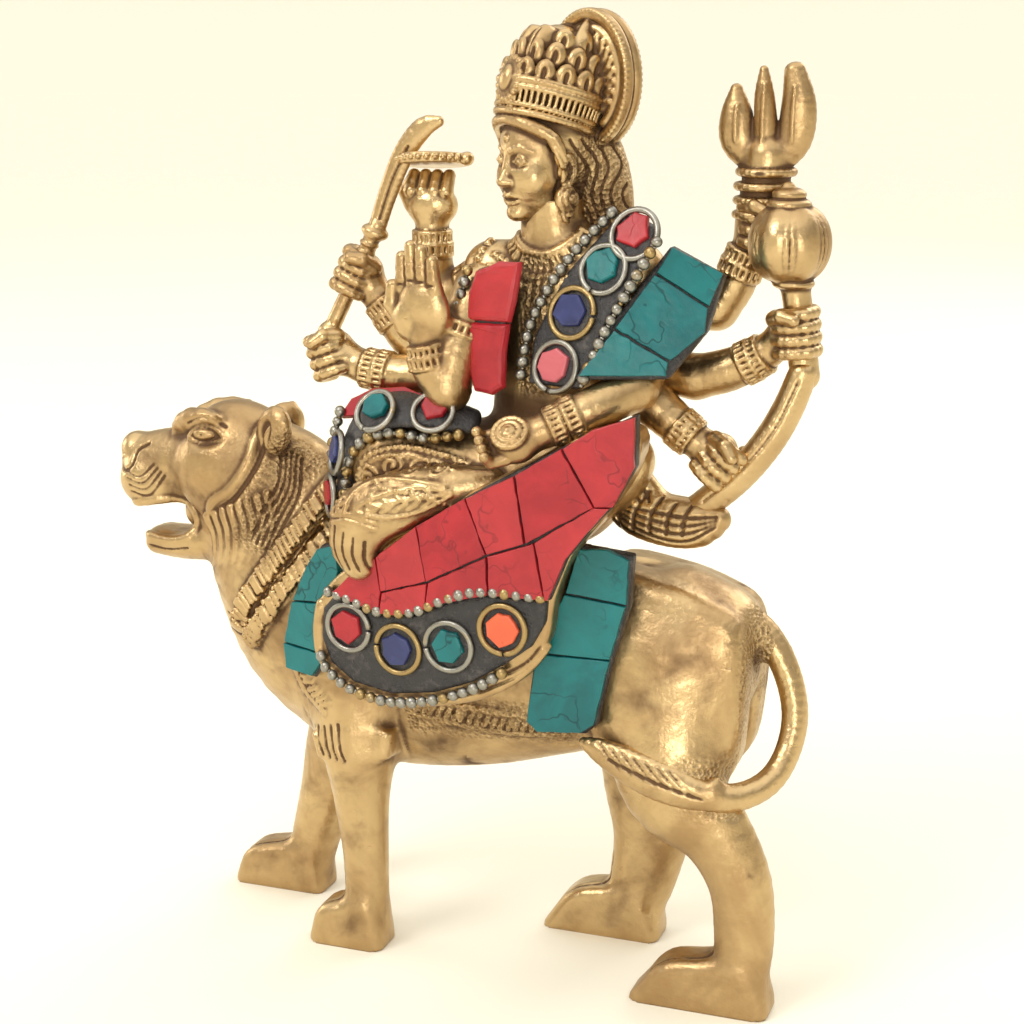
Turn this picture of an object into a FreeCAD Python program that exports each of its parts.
import FreeCAD, Part
import Sketcher
import math
import os

# A brass goddess with eight arms, seated cross-legged on a walking lion, with stone and
# resin inlay. The lion faces -X, its left flank faces -Y and +Z is up. Lengths are in
# millimetres. The origin is on the floor, under the middle of the whole statue.

Vector = FreeCAD.Vector
Rotation = FreeCAD.Rotation
Placement = FreeCAD.Placement

doc = FreeCAD.newDocument("statue")
sheet = doc.addObject("Spreadsheet::Sheet", "sizes")

SIZES = {
    "centre_line_y": 3.8,
    "ground_block_width": 240,
    "ground_block_height": 20,
    "leg_reach": 12.5,
    "trunk_half_width": 15.0,
    "neck_half_width": 13.0,
    "head_half_width": 12.0,
    "muzzle_half_width": 7.5,
    "ear_radius": 4.4,
    "ear_thickness": 2.6,
    "tail_radius": 2.5,
    "torso_half_depth": 9.0,
    "head_radius": 10.4,
    "hair_radius": 7.0,
    "upper_arm_radius": 4.4,
    "elbow_radius": 3.9,
    "forearm_radius": 3.7,
    "wrist_radius": 3.1,
    "hand_length": 6.2,
    "hand_width": 4.4,
    "hand_thickness": 3.2,
    "palm_share": 0.55,
    "drape_thickness": 6.2,
    "seat_height": 90.2,
    "spigot_radius": 5.0,
    "spigot_length": 9.0,
    "spigot_clearance": 0.15,
    "spigot_root": 4.0,
    "socket_depth": 10.0,
    "bed_thickness": 1.6,
    "tile_thickness": 1.4,
    "tile_gap": 0.35,
    "ring_radius": 4.7,
    "ring_wire": 0.55,
    "stone_radius": 3.3,
    "stone_height": 1.1,
    "bead_radius": 1.05,
    "bead_pitch": 2.3,
    "blade_thickness": 2.4,
    "grip_radius": 1.9,
    "pommel_radius": 2.9,
    "disc_radius": 8.3,
    "disc_thickness": 2.2,
    "trident_thickness": 4.2,
    "trident_socket_radius": 4.4,
    "trident_socket_height": 12.0,
    "shaft_radius": 2.6,
    "mace_radius": 8.2,
    "mace_height": 15.5,
    "bow_radius": 2.5,
    "conch_half_length": 11.0,
    "conch_radius": 4.3,
}

for row, (alias, value) in enumerate(SIZES.items(), start=1):
    sheet.set(f"A{row}", alias.replace("_", " "))
    sheet.set(f"B{row}", str(value))
    sheet.setAlias(f"B{row}", alias)
doc.recompute()

NODES = []


def size(alias):
    """The value of one named cell of the sheet."""
    return float(sheet.get(alias))


def bind(item, **cells):
    """Ties properties of a document object to cells of the sheet."""
    for prop, alias in cells.items():
        item.setExpression(prop, f"<<sizes>>.{alias}")
    return item


def at(x, y, z):
    """A point given from the lion's centre line, in the statue's own frame."""
    return Vector(x, y + size("centre_line_y"), z)


def node(item, name):
    """Marks a document object as one physical piece, kept under that name."""
    item.Label = name
    NODES.append((name, item))
    return item


def frame_at(origin, normal):
    """Placement whose local XZ plane lies on a surface that faces along normal."""
    outward = Vector(*normal).normalize()
    right = Vector(1, 0, 0) - outward * outward.x
    right.normalize()
    return Placement(origin, Rotation(right, outward * -1, outward.cross(right), "XYZ"))


# ---- rounded limbs: lofts through elliptical sections -------------------------------------

def section(centre, along, across, half_across, half_deep):
    """Closed oval wire, square to along, half_across wide along the across vector."""
    side = along.cross(across).normalize()
    level = side.cross(along).normalize()
    count = 8
    points = []
    for index in range(count):
        angle = 2 * math.pi * index / count
        points.append(centre + level * (half_across * math.cos(angle))
                      + side * (half_deep * math.sin(angle)))
    curve = Part.BSplineCurve()
    curve.interpolate(Points=points, PeriodicFlag=True)
    return Part.Wire([curve.toShape()])


def tangents(centres):
    """Unit direction of the centre line at each of its points."""
    found = []
    for index, _ in enumerate(centres):
        ahead = centres[min(index + 1, len(centres) - 1)]
        behind = centres[max(index - 1, 0)]
        found.append((ahead - behind).normalize())
    return found


def limb(name, stations, across=(0, 1, 0)):
    """Rounded limb through stations (x, y, z, half_across, half_deep), with domed ends."""
    centres = [at(*station[:3]) for station in stations]
    radii = [(station[3], station[-1]) for station in stations]
    lines = tangents(centres)
    wires = []
    for part_way, shrink in ((0.92, 0.3), (0.6, 0.76)):
        back = min(radii[0]) * part_way
        wires.append((centres[0] - lines[0] * back, lines[0], radii[0], shrink))
    for centre, line, pair in zip(centres, lines, radii):
        wires.append((centre, line, pair, 1.0))
    for part_way, shrink in ((0.6, 0.76), (0.92, 0.3)):
        on = min(radii[-1]) * part_way
        wires.append((centres[-1] + lines[-1] * on, lines[-1], radii[-1], shrink))
    sections = [section(centre, line, Vector(*across), pair[0] * shrink, pair[1] * shrink)
                for centre, line, pair, shrink in wires]
    item = doc.addObject("Part::Feature", name)
    item.Shape = Part.makeLoft(sections, True, False, False, 3)
    return item


def ball(name, centre, alias):
    """Sphere whose radius is one cell of the sheet."""
    item = bind(doc.addObject("Part::Sphere", name), Radius=alias)
    item.Placement = Placement(centre, Rotation())
    return item


def torus(name, centre, axis, radius_alias, wire_alias):
    """Ring of round wire about an axis."""
    item = bind(doc.addObject("Part::Torus", name), Radius1=radius_alias, Radius2=wire_alias)
    item.Placement = Placement(centre, Rotation(Vector(0, 0, 1), Vector(*axis)))
    return item


def rod(name, start, end, radius_alias):
    """Straight round rod between two points."""
    item = bind(doc.addObject("Part::Cylinder", name), Radius=radius_alias)
    item.Height = (end - start).Length
    item.Placement = Placement(start, Rotation(Vector(0, 0, 1), end - start))
    return item


def joined(name, *members):
    """One solid made of several overlapping members."""
    item = doc.addObject("Part::MultiFuse", name)
    item.Shapes = list(members)
    return item


def less(name, base, tool):
    """Base with the tool's volume taken away."""
    item = doc.addObject("Part::Cut", name)
    item.Base = base
    item.Tool = tool
    return item


def group(name, members):
    """Several separate solids kept as one piece group."""
    item = doc.addObject("Part::Compound", name)
    item.Links = list(members)
    return item


# ---- flat pieces: padded sketches ---------------------------------------------------------

def plane_of(body, role):
    """The body's own origin plane with that role."""
    return next(item for item in body.Origin.OriginFeatures if item.Role == role)


def draw(sketch, outline):
    """Closed polygon through the outline's points, with its corners tied together."""
    count = len(outline)
    for index in range(count):
        start = Vector(*outline[index], 0)
        end = Vector(*outline[(index + 1) % count], 0)
        sketch.addGeometry(Part.LineSegment(start, end), False)
    for index in range(count):
        sketch.addConstraint(Sketcher.Constraint("Coincident", index, 2, (index + 1) % count, 1))


def padded(name, outline, thickness_alias, placement):
    """Body made by padding an outline in its local XZ plane outward by a sheet thickness."""
    body = doc.addObject("PartDesign::Body", name)
    sketch = body.newObject("Sketcher::SketchObject", name + "_outline")
    sketch.AttachmentSupport = [(plane_of(body, "XZ_Plane"), "")]
    sketch.MapMode = "FlatFace"
    draw(sketch, outline)
    pad = body.newObject("PartDesign::Pad", name + "_pad")
    pad.Profile = sketch
    bind(pad, Length=thickness_alias)
    body.Placement = placement
    return body


class Panel:
    """A flat stretch of drapery: a plane through origin that faces along normal.

    Outlines are given as (x, z) and dropped along Y onto the plane, so they keep their look
    from the front however far the plane leans."""

    def __init__(self, origin, normal):
        self.origin = at(*origin)
        self.normal = Vector(*normal).normalize()
        self.placement = frame_at(self.origin, normal)
        self.inverse = self.placement.inverse()

    def point(self, x, z, lift=0.0):
        """The point of the panel in front of (x, z), lifted off it along the normal."""
        lean = self.normal.x * (x - self.origin.x) + self.normal.z * (z - self.origin.z)
        return Vector(x, self.origin.y - lean / self.normal.y, z) + self.normal * lift

    def local(self, x, z):
        """The same point in the panel's own sketch plane."""
        flat = self.inverse.multVec(self.point(x, z))
        return (flat.x, flat.z)

    def slab(self, name, outline, thickness_alias, lift=0.0):
        """A plate of that outline lying on the panel."""
        flat = [self.local(x, z) for x, z in outline]
        raised = Placement(self.origin + self.normal * lift, self.placement.Rotation)
        return padded(name, flat, thickness_alias, raised)

    def ring(self, name, x, z, lift):
        """A wire ring lying on the panel."""
        centre = self.point(x, z, lift + size("ring_wire"))
        return torus(name, centre, self.normal, "ring_radius", "ring_wire")

    def stone(self, name, x, z, lift, sides):
        """A flat chip of stone lying on the panel."""
        item = doc.addObject("Part::Prism", name)
        item.Polygon = sides
        bind(item, Circumradius="stone_radius", Height="stone_height")
        turn = Rotation(Vector(0, 0, 1), self.normal)
        item.Placement = Placement(self.point(x, z, lift), turn)
        return item

    def beads(self, name, path, lift):
        """Round beads side by side along a line of (x, z) points on the panel."""
        points = [self.point(x, z, lift + size("bead_radius")) for x, z in path]
        pitch = size("bead_pitch")
        spheres = []
        carried = 0.0
        for start, end in zip(points, points[1:]):
            span = (end - start).Length
            step = (end - start).normalize()
            while carried <= span:
                centre = start + step * carried
                spheres.append(ball(f"{name}_{len(spheres)}", centre, "bead_radius"))
                carried += pitch
            carried -= span
        return group(name, spheres)


def shrunk(outline, gap):
    """The outline with every corner drawn in towards its middle by the gap."""
    middle_x = sum(x for x, _ in outline) / len(outline)
    middle_z = sum(z for _, z in outline) / len(outline)
    drawn = []
    for x, z in outline:
        reach = math.hypot(x - middle_x, z - middle_z)
        keep = (reach - gap) / reach
        drawn.append((middle_x + (x - middle_x) * keep, middle_z + (z - middle_z) * keep))
    return drawn


def tiles(panel, name, cells):
    """Separate stone tiles on a bed, with a narrow joint left round each."""
    lift = size("bed_thickness")
    plates = [panel.slab(f"{name}_{index}", shrunk(cell, size("tile_gap")), "tile_thickness", lift)
              for index, cell in enumerate(cells)]
    return node(group(name, plates), name)


# ---- the lion -----------------------------------------------------------------------------

def lion_legs():
    """Four legs, each ending in its paw: the near pair is at -Y, the far pair steps forward."""
    reach = size("leg_reach")
    hind = reach + 2
    fore = reach - 2
    return [
        limb("near_fore_leg", [
            (-18, -8, 60, 9.0), (-17.4, 1 - reach, 46, 8.0), (-16.6, -reach, 34, 5.8),
            (-15.6, -reach, 20, 4.8), (-15.6, -reach, 9, 4.8), (-19.5, -reach, 4.4, 5.4, 4.9),
            (-26.4, -reach, 3.4, 5.2, 3.8)]),
        limb("far_fore_leg", [
            (-24, 6, 54, 9.4), (-31, fore, 38, 8.0), (-35.6, fore, 25, 6.0), (-38.2, fore, 14, 5.0),
            (-40.6, fore, 7, 5.0), (-45.5, fore, 4.4, 5.4, 4.8), (-53.4, fore, 3.4, 5.2, 3.8)]),
        limb("near_hind_leg", [
            (51, -7, 72, 9.0, 13.0), (50.6, -10, 60, 9.0, 13.0), (54, -hind, 47, 7.8, 10.0),
            (63, -hind, 37.4, 6.4, 7.2), (69, -hind, 26, 5.6, 6.0), (70.4, -hind, 14, 5.2, 5.4),
            (67.6, -hind, 6.4, 5.2, 5.0), (60, -hind, 4.2, 5.6, 4.7), (53, -hind, 3.4, 5.4, 3.9)]),
        limb("far_hind_leg", [
            (50, 6, 68, 9.0, 13.0), (45.4, 9, 54, 8.6, 11.6), (44.4, reach, 38, 7.2, 8.8),
            (44.6, reach, 24, 6.0, 6.8), (41.6, reach, 12, 5.4, 5.6), (36.6, reach, 6, 5.2, 4.8),
            (30, reach, 4.4, 5.6, 4.8), (23.6, reach, 3.6, 5.4, 4.0)])]


def make_lion():
    """The lion's single casting, with a flat sole under each paw and the deity's socket."""
    wide = size("trunk_half_width")
    neck = size("neck_half_width")
    skull = size("head_half_width")
    muzzle = size("muzzle_half_width")
    body = limb("lion_body", [
        (60, 0, 66, wide * 0.6, 13.0), (52, 0, 68.5, wide * 0.86, 17.0), (40, 0, 70, wide, 20.0),
        (22, 0, 67.5, wide, 22.5), (4, 0, 64.5, wide, 24.5), (-14, 0, 64, wide, 25.0),
        (-28, 0, 70, wide * 0.95, 24.0), (-37, 0, 82, neck, 20.6), (-42.6, 0, 94, neck, 18.0),
        (-49.4, 0, 102.4, skull, 15.4), (-58, 0, 104.6, skull * 0.88, 12.0),
        (-66.4, 0, 103, muzzle, 8.4), (-75, 0, 100.8, muzzle * 0.86, 5.8)])
    jaw = limb("lower_jaw", [
        (-50, 0, 92, muzzle, 7.0), (-59, 0, 87.6, muzzle - 0.8, 5.0), (-67.4, 0, 87.4, muzzle - 2, 3.8)])
    members = [body, jaw]
    for name, side in (("near_ear", -1), ("far_ear", 1)):
        flap = doc.addObject("Part::Ellipsoid", name)
        flap.Angle1 = -90
        bind(flap, Radius1="ear_radius", Radius2="ear_thickness", Radius3="ear_radius")
        flap.Placement = Placement(at(-40.5, side * 8.6, 112), Rotation(side * 20, -15, 0))
        members.append(flap)
    below = doc.addObject("Part::Box", "below_floor")
    bind(below, Length="ground_block_width", Width="ground_block_width",
         Height="ground_block_height")
    half = size("ground_block_width") / 2
    below.Placement = Placement(Vector(-half, -half, -size("ground_block_height")), Rotation())
    for leg in lion_legs():
        members.append(less(leg.Name + "_flat_soled", leg, below))
    rough = joined("lion_rough", *members)
    socket = doc.addObject("Part::Cylinder", "deity_socket")
    bind(socket, Height="socket_depth")
    socket.setExpression("Radius", "<<sizes>>.spigot_radius + <<sizes>>.spigot_clearance")
    socket.Placement = Placement(at(22, 0, size("seat_height") - size("socket_depth")), Rotation())
    return body, less("lion_with_socket", rough, socket)


def make_tail():
    """The tail leaves the rump, loops out behind and comes back along the near thigh."""
    radius = size("tail_radius")
    return limb("tail", [
        (58, 0, 83.5, radius), (64.5, 0, 80.8, radius), (71, 0, 75.5, radius),
        (75.6, -1, 68.5, radius), (77.2, -3, 61, radius), (76.3, -6, 54.2, radius),
        (73, -11, 49.6, radius), (67, -17, 48, radius), (60, -21.6, 48.6, radius + 0.4),
        (50, -22.4, 51.6, radius + 0.6), (41, -20.6, 54.4, radius)], across=(0.3, 0.2, 1))


# ---- the deity ----------------------------------------------------------------------------

TORSO_ACROSS = (0.966, -0.259, 0)
DRAPE = Panel((10, -17.2, 92), (-0.04, -1, 0.02))


def make_deity():
    """Torso, head with its crown, crossed legs and the cloth that hangs over the near flank."""
    deep = size("torso_half_depth")
    head = size("head_radius")
    torso = limb("torso", [
        (22, 0, 104, 17.0, 13.0), (21.6, 0, 119, 12.8, deep), (22, 0, 131, 13.0, deep),
        (23.6, 0, 143, 16.5, deep + 0.4), (24.2, 0, 151, 12.0, deep - 2), (23, 0, 157, 6.2, 6.0)],
        across=TORSO_ACROSS)
    crowned_head = limb("crowned_head", [
        (20.4, -2, 164, 7.4), (20.8, -1.4, 170, head), (21.6, -1, 178, head + 0.6),
        (24.4, 0, 186, head + 1.6), (28, 1, 193, head - 0.8), (31, 1.6, 197, head - 4)],
        across=TORSO_ACROSS)
    hair = ball("hair", at(29.5, 4.5, 166), "hair_radius")
    lap = limb("lap", [
        (-11, -9, 110, 9.6, 9.6), (0, -6, 108, 11.0, 11.0), (12, -4, 106.6, 12.6, 12.0),
        (26, -4, 107, 12.6, 12.0), (36, -8, 110, 9.6, 9.4), (41, -11, 113, 6.4, 6.4)])
    left_foot = limb("left_foot", [
        (14, -17, 107, 4.4), (4.5, -20, 101, 5.2), (-4.5, -21.4, 94.4, 5.4), (-9.6, -22, 89.6, 3.4)])
    drape = DRAPE.slab("drape", [
        (44.5, 118), (46, 110), (38, 99), (32, 88), (32, 76), (23, 65.5), (6, 61.4), (-13, 62.4),
        (-22, 69), (-21, 82), (-14, 90), (0, 106), (15, 114), (30, 119)], "drape_thickness")
    body = joined("deity_rough", torso, crowned_head, hair, lap, left_foot, drape)
    return torso, lap, body


ACROSS_ARM = (0.2, 1, 0.1)

ARM_PATHS = {
    "arm_right_abhaya": ((8, -4, 146), (5.5, -10, 134), (4.2, -12, 125), (0.4, -12.4, 129.6),
                         (-0.4, -12.6, 138), (0.4, -12.8, 147)),
    "arm_right_sword": ((8, 2, 145), (1, 2, 133), (-4, 2, 127.5), (-10, 2, 133),
                        (-16.5, 2, 142), (-20.4, 2, 147)),
    "arm_right_disc": ((9, 5, 149), (1, 6, 143.5), (-4.6, 6, 141.6), (-6.4, 6, 148),
                       (-6.6, 6, 155), (-6.4, 6, 160.4)),
    "arm_right_conch_stem": ((10, -2, 138), (5, -4, 129.5), (0, -4, 126.6), (-8, -4, 126),
                             (-17.6, -4, 127.1), (-24, -4, 130.6)),
    "arm_left_trident": ((40, 3, 149), (49, 5, 143.5), (55.6, 6, 141.6), (59, 6, 146.5),
                         (61.6, 6, 153.5), (63, 6, 160)),
    "arm_left_mace": ((38, 1, 137), (46, 1, 129.5), (53, 0, 128.2), (60, 0, 130.6),
                      (66.6, 0, 134), (72, 0, 139.4)),
    "arm_left_bow": ((36, -1, 132), (41, -3, 125.6), (45.6, -4, 123), (49, -4, 121),
                     (53, -4, 118.6), (58, -4, 114.6)),
    "arm_left_lap": ((38, -3, 148), (42, -9, 137), (42.4, -13.4, 126.8), (36, -17, 123.6),
                     (28.4, -19.6, 120.6), (20.6, -21.2, 117.4)),
}


def make_arm(name, path):
    """Arm in two limbs that meet at the elbow, the lower one ending in a closed hand."""
    upper, elbow, lower, wrist = (size(alias) for alias in (
        "upper_arm_radius", "elbow_radius", "forearm_radius", "wrist_radius"))
    shoulder_point, mid_point, elbow_point, forearm_point, wrist_point, end_point = path
    above = limb(name + "_upper", [
        (*shoulder_point, upper), (*mid_point, upper), (*elbow_point, elbow)], ACROSS_ARM)
    reach = (Vector(*end_point) - Vector(*wrist_point)).normalize()
    palm = Vector(*end_point) + reach * (size("hand_length") * size("palm_share"))
    tips = Vector(*end_point) + reach * size("hand_length")
    hand = (size("hand_width"), size("hand_thickness"))
    below = limb(name + "_fore", [
        (*elbow_point, elbow - 0.3), (*forearm_point, lower), (*wrist_point, wrist),
        (*end_point, wrist), (*palm, *hand), (*tips, *hand)], ACROSS_ARM)
    return joined(name + "_whole", above, below)


# ---- what the hands hold ------------------------------------------------------------------

def make_sword():
    """Curved blade with a hooked tip, round grip, guard and pommel."""
    blade = Panel((-14, 3.2, 166), (0, -1, 0)).slab("blade", [
        (-18.4, 156), (-15.6, 156), (-12.6, 166), (-9.4, 173), (-2.6, 177.4), (-1.4, 180.6),
        (-8, 179.6), (-13.4, 173.6), (-16.4, 166)], "blade_thickness")
    grip = rod("sword_grip", at(-27, -1.6, 134), at(-17, 2, 157), "grip_radius")
    guard = ball("sword_guard", at(-17.6, 2, 155.4), "pommel_radius")
    pommel = ball("sword_pommel", at(-27, -1.6, 134), "pommel_radius")
    return joined("sword", blade, grip, guard, pommel)


def make_trident():
    """Three prongs over a ribbed socket on a short shaft."""
    prongs = Panel((66, 8.1, 178), (0, -1, 0)).slab("prongs", [
        (61.5, 172), (68.5, 172), (73.4, 178), (73.6, 186), (70.6, 192.6), (68.6, 186),
        (66.8, 191.6), (64.4, 191.4), (62.6, 186), (59.4, 188.6), (56.6, 188.2), (56.8, 179)],
        "trident_thickness")
    socket = doc.addObject("Part::Cone", "trident_socket")
    bind(socket, Radius1="shaft_radius", Radius2="trident_socket_radius",
         Height="trident_socket_height")
    socket.Placement = Placement(at(63.6, 6, 162), Rotation(Vector(0, 0, 1), Vector(0.1, 0, 1)))
    return joined("trident", prongs, socket)


def make_mace():
    """Ribbed bulb with a domed cap on a round handle."""
    bulb = bind(doc.addObject("Part::Ellipsoid", "mace_bulb"), Radius2="mace_radius",
                Radius3="mace_radius")
    bulb.Angle1 = -90
    bulb.setExpression("Radius1", "<<sizes>>.mace_height / 2")
    bulb.Placement = Placement(at(71.8, 0, 157.4), Rotation())
    cap = ball("mace_cap", at(70.2, 0, 164.6), "pommel_radius")
    handle = rod("mace_handle", at(75.4, -0.6, 130), at(72.6, 0, 152), "shaft_radius")
    return joined("mace", bulb, cap, handle)


def make_bow():
    """Curved stave that runs from the lower fist up to the foot of the mace handle."""
    radius = size("bow_radius")
    return limb("bow", [
        (52, -4, 101, radius * 0.7), (57, -4, 105, radius), (63.6, -4, 110, radius),
        (69.6, -3, 116.6, radius), (73, -2, 123, radius), (74.8, -1, 128, radius * 0.8)],
        across=(0, 1, 0))


def make_conch():
    """Long shell that lies under the lower left hand."""
    shell = doc.addObject("Part::Ellipsoid", "conch")
    shell.Angle1 = -90
    bind(shell, Radius1="conch_half_length", Radius2="conch_radius", Radius3="conch_radius")
    shell.Placement = Placement(at(52, -5.6, 100.4), Rotation(Vector(0, 0, 1), Vector(1, 0, 0.32)))
    return shell


def make_disc():
    """Flat throwing disc carried on the raised finger tips."""
    plate = bind(doc.addObject("Part::Cylinder", "disc_plate"), Radius="disc_radius",
                 Height="disc_thickness")
    plate.Placement = Placement(at(-6, 6, 170), Rotation(Vector(0, 0, 1), Vector(-0.05, 0.1, 1)))
    knob = ball("disc_knob", at(2.4, 5, 171.4), "grip_radius")
    return joined("disc", plate, knob)


# ---- inlay --------------------------------------------------------------------------------

SHAWL = Panel((32, -9.5, 145), (-0.24, -1, 0.34))
CHEST = Panel((15, -10.6, 140), (-0.30, -1, 0.06))
SHOULDER = Panel((47, -8.6, 143), (0.32, -1, 0.28))
KNEE = Panel((-4, -16.4, 118), (-0.3, -1, 0.75))
SKIRT = Panel((14, -23.5, 98), (-0.04, -1, 0.02))
REAR = Panel((34, -15.9, 78), (0.04, -1, 0.03))
FRONT = Panel((-24, -15.2, 78), (-0.16, -1, 0.03))

BEDS = {
    "shawl_bed": (SHAWL, [(38, 161.5), (45.6, 158.6), (44, 152.5), (37.6, 141), (33, 128.6),
                          (22, 129), (22.6, 137), (27.6, 149)]),
    "chest_bed": (CHEST, [(9.8, 150), (19, 153.6), (21.6, 151), (19.6, 127.4), (11.2, 126)]),
    "shoulder_bed": (SHOULDER, [(47.6, 155), (56, 148.6), (55.4, 142), (50.8, 131.4),
                                (34.6, 131.2), (41.4, 144)]),
    "knee_hem_bed": (KNEE, [(8.6, 118.4), (1.6, 122.6), (-10.4, 122.4), (-18.6, 114),
                            (-20.6, 102.8), (-15.6, 103), (-13, 112), (-7, 116.6), (2, 117)]),
    "skirt_bed": (SKIRT, [(43.4, 119), (45.6, 111), (38.4, 99), (31.6, 88), (31, 84),
                          (10, 82.4), (-13.4, 84), (-15, 86.6), (10, 101), (30, 114)]),
    "skirt_hem_bed": (SKIRT, [(30.6, 83.4), (29.6, 74.3), (20.3, 67.2), (5, 63.2), (-14.2, 64.4),
                              (-21.4, 70.8), (-19, 80.6), (-14.6, 83.4), (10, 81.8)]),
    "rear_blanket_bed": (REAR, [(35.6, 97), (44.4, 94.2), (44.7, 86.4), (41.3, 74.1), (39.8, 61.1),
                                (33.4, 58.2), (25.4, 58.6), (25.2, 64.4), (33.2, 75), (33, 88)]),
    "front_blanket_bed": (FRONT, [(-19, 93.3), (-17, 86.6), (-22.6, 80.8), (-25.1, 66.6),
                                  (-31, 64.5), (-29.9, 79.1), (-24.5, 88.5)]),
}


def make_beds(backings):
    """The black resin beds that hold the stones, each fitted against the brass behind it."""
    for name, (panel, outline) in BEDS.items():
        plate = panel.slab(name + "_plate", outline, "bed_thickness")
        if name in backings:
            plate = less(name, plate, backings[name])
        node(plate, name)


def make_tiles():
    """Cut stone tiles: turquoise on the shoulder and the blanket, coral on chest and skirt."""
    tiles(SHOULDER, "shoulder_tiles", [
        [(47.6, 154.4), (55.6, 148.6), (54.8, 144.6), (44.6, 149.6)],
        [(44.4, 149.2), (54.8, 144.2), (51.8, 137), (39.6, 140.6)],
        [(39.4, 140.2), (51.6, 136.6), (50.2, 131.8), (35.4, 131.8)]])
    tiles(CHEST, "chest_tiles", [
        [(10.4, 149.6), (19, 153), (21, 150.8), (20.2, 140), (10.6, 139.6)],
        [(10.6, 139.2), (20.2, 139.6), (19.2, 128), (11.6, 126.8)]])
    tiles(SKIRT, "skirt_tiles", [
        [(36, 117), (43, 118.4), (45, 111), (40, 103), (35, 106)],
        [(28, 112.6), (35.6, 116.4), (34.6, 105.6), (28.4, 102)],
        [(20, 107.4), (27.6, 112), (28, 101.8), (20.6, 96.6)],
        [(10, 101), (19.6, 107), (20.2, 96.2), (11.4, 92)],
        [(0, 95), (9.6, 100.6), (11, 91.6), (2, 88)],
        [(-13.4, 87), (-0.4, 94.6), (1.4, 87.6), (-8, 84.4), (-13, 84.8)],
        [(28.8, 101.6), (34.6, 105), (39.2, 101.6), (33, 91), (29.2, 92)],
        [(21, 96), (28.4, 101), (28.6, 90.6), (22, 88.4)],
        [(12, 91.4), (20.4, 95.6), (21.4, 84.4), (10.6, 83.4)],
        [(2.6, 87.4), (11, 91), (9.8, 83.2), (-5, 84.2)]])
    tiles(REAR, "rear_blanket_tiles", [
        [(36, 96.2), (44, 93.8), (44, 86.6), (33.8, 88)],
        [(33.8, 87.4), (43.8, 86), (41.4, 74.6), (34, 74.6)],
        [(34, 74), (41, 74), (39.2, 61.6), (33.4, 58.8), (26, 59.2), (25.8, 64)]])
    tiles(FRONT, "front_blanket_tiles", [
        [(-19.2, 92.6), (-17.6, 86.8), (-22.4, 82), (-29, 81.6), (-24.4, 88.2)],
        [(-22.8, 81.4), (-24, 74), (-30.2, 74.4), (-29.4, 81)],
        [(-24.2, 73.4), (-25.6, 67.2), (-30.8, 65.4), (-30.4, 73.8)]])


SETTINGS = {
    "shawl": (SHAWL, (("coral", 41.2, 156.4, 7), ("turquoise", 36.0, 150.2, 6),
                      ("lapis", 31.0, 142.4, 7), ("pink", 27.6, 132.6, 6))),
    "knee_hem": (KNEE, (("coral", 3.0, 119.8, 6), ("turquoise", -8.6, 119.6, 7))),
    "skirt_hem": (SKIRT, (("coral", -14.4, 75.8, 7), ("lapis", -2.0, 72.6, 7),
                          ("turquoise", 10.4, 74.4, 6), ("orange", 22.4, 78.0, 6))),
}


def make_settings():
    """Wire rings on the resin bands, each round one chip of stone."""
    lift = size("bed_thickness")
    for place, (panel, stones) in SETTINGS.items():
        rings = []
        for colour, x, z, sides in stones:
            rings.append(panel.ring(f"{place}_ring_{colour}", x, z, lift))
            name = f"{place}_stone_{colour}"
            node(panel.stone(name, x, z, lift, sides), name)
        node(group(f"{place}_rings", rings), f"{place}_rings")


BEAD_LINES = {
    "shawl_outer_beads": (SHAWL, [(46.2, 156.5), (43.4, 150.6), (38, 139.6), (34, 128)]),
    "shawl_inner_beads": (SHAWL, [(36.8, 160.4), (28.6, 151), (22.8, 140), (21, 129.6)]),
    "chest_beads": (CHEST, [(8.8, 148), (8.6, 138), (9.6, 127)]),
    "knee_outer_beads": (KNEE, [(8.6, 120.4), (1.8, 124), (-10.4, 123.8), (-17.6, 117.6)]),
    "knee_inner_beads": (KNEE, [(5, 115.8), (-6.6, 115.2), (-12.6, 110.6)]),
    "skirt_hem_upper_beads": (SKIRT, [(-17, 82.9), (10, 81), (30, 82.4)]),
    "skirt_hem_lower_beads": (SKIRT, [(-20.6, 68.4), (-13.6, 63.2), (5, 61.9), (21.6, 66.2)]),
}


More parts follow.
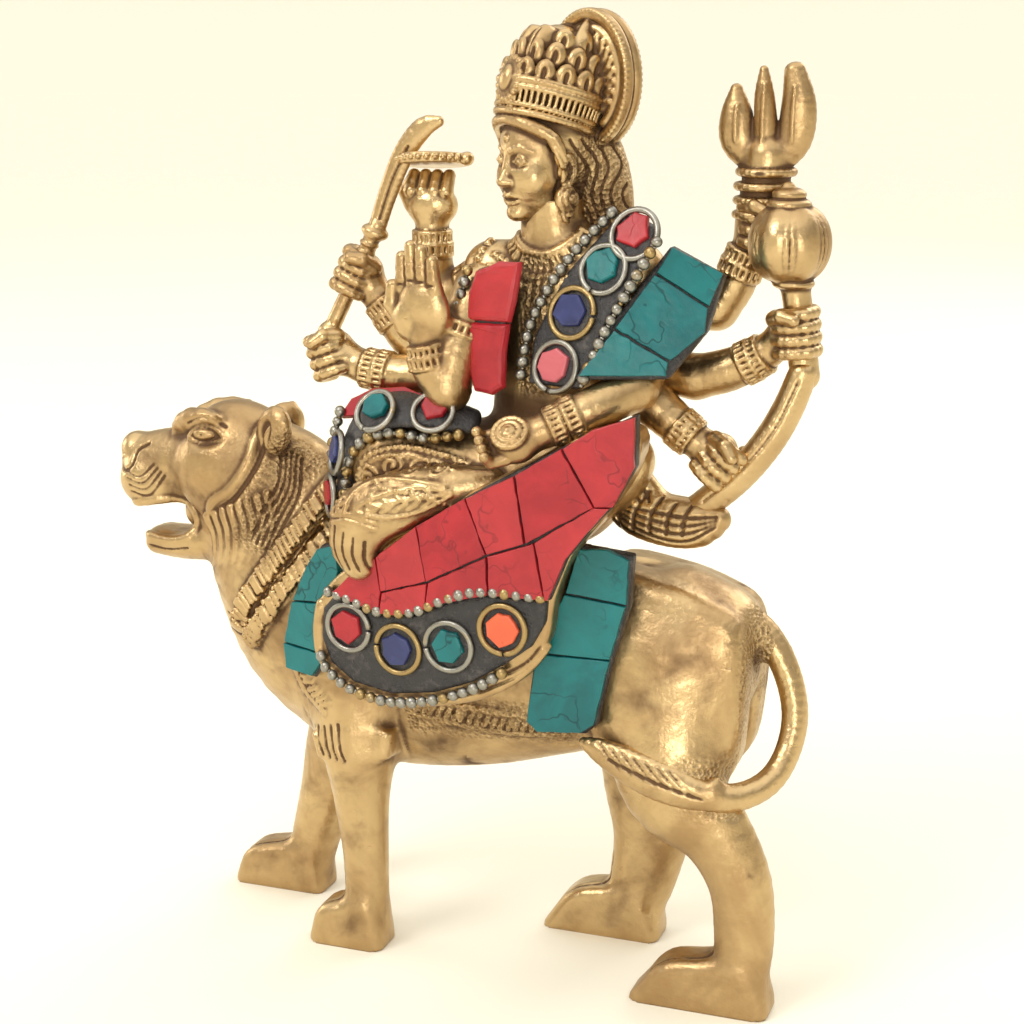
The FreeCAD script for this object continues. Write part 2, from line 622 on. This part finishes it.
def make_bead_lines():
    """Strings of round beads laid along the edges of the resin bands."""
    lift = size("bed_thickness")
    for name, (panel, path) in BEAD_LINES.items():
        node(panel.beads(name, path, lift), name)


# ---- assembly -----------------------------------------------------------------------------

def assemble():
    """Makes every piece and seats each one in its neighbours without overlap."""
    lion_body, lion = make_lion()
    node(lion, "lion_casting")
    node(less("lion_tail_seated", make_tail(), lion_body), "lion_tail")
    torso, lap, deity = make_deity()
    seated = less("deity_seated", deity, lion_body)
    spigot = bind(doc.addObject("Part::Cylinder", "spigot"), Radius="spigot_radius")
    spigot.setExpression("Height", "<<sizes>>.spigot_length + <<sizes>>.spigot_root")
    spigot.Placement = Placement(at(22, 0, size("seat_height") - size("spigot_length")), Rotation())
    node(joined("deity_casting", seated, spigot), "deity_casting")
    make_beds({"shawl_bed": torso, "chest_bed": torso, "shoulder_bed": torso,
               "knee_hem_bed": lap, "rear_blanket_bed": lion_body, "front_blanket_bed": lion_body})
    held = {
        "arm_right_sword": make_sword(),
        "arm_right_disc": make_disc(),
        "arm_left_trident": make_trident(),
        "arm_left_mace": make_mace(),
        "arm_left_bow": make_bow(),
    }
    for name, path in ARM_PATHS.items():
        arm = less(name + "_free", make_arm(name, path), torso)
        if name in held:
            arm = less(name + "_gripping", arm, held[name])
        node(arm, name)
    for name, prop in zip(("sword", "disc", "trident", "mace", "bow"), held.values()):
        node(prop, name)
    node(make_conch(), "conch")
    make_tiles()
    make_settings()
    make_bead_lines()


def export():
    """Checks every object and piece, then writes one STEP file per piece."""
    doc.recompute()
    broken = [item.Name for item in doc.Objects if {"Invalid", "Error"} & set(item.State)]
    if broken:
        raise RuntimeError("these objects failed: " + ", ".join(broken))
    os.makedirs("parts", exist_ok=True)
    for name, item in NODES:
        shape = item.Shape
        if shape.isNull() or not shape.isValid():
            raise RuntimeError(f"{name} is not a sound solid")
        shape.exportStep(f"parts/{name}.step")
        print(f"{name}: {len(shape.Solids)} solid(s), {shape.Volume:.0f} cubic mm")
    print(f"{len(NODES)} pieces")


assemble()
export()
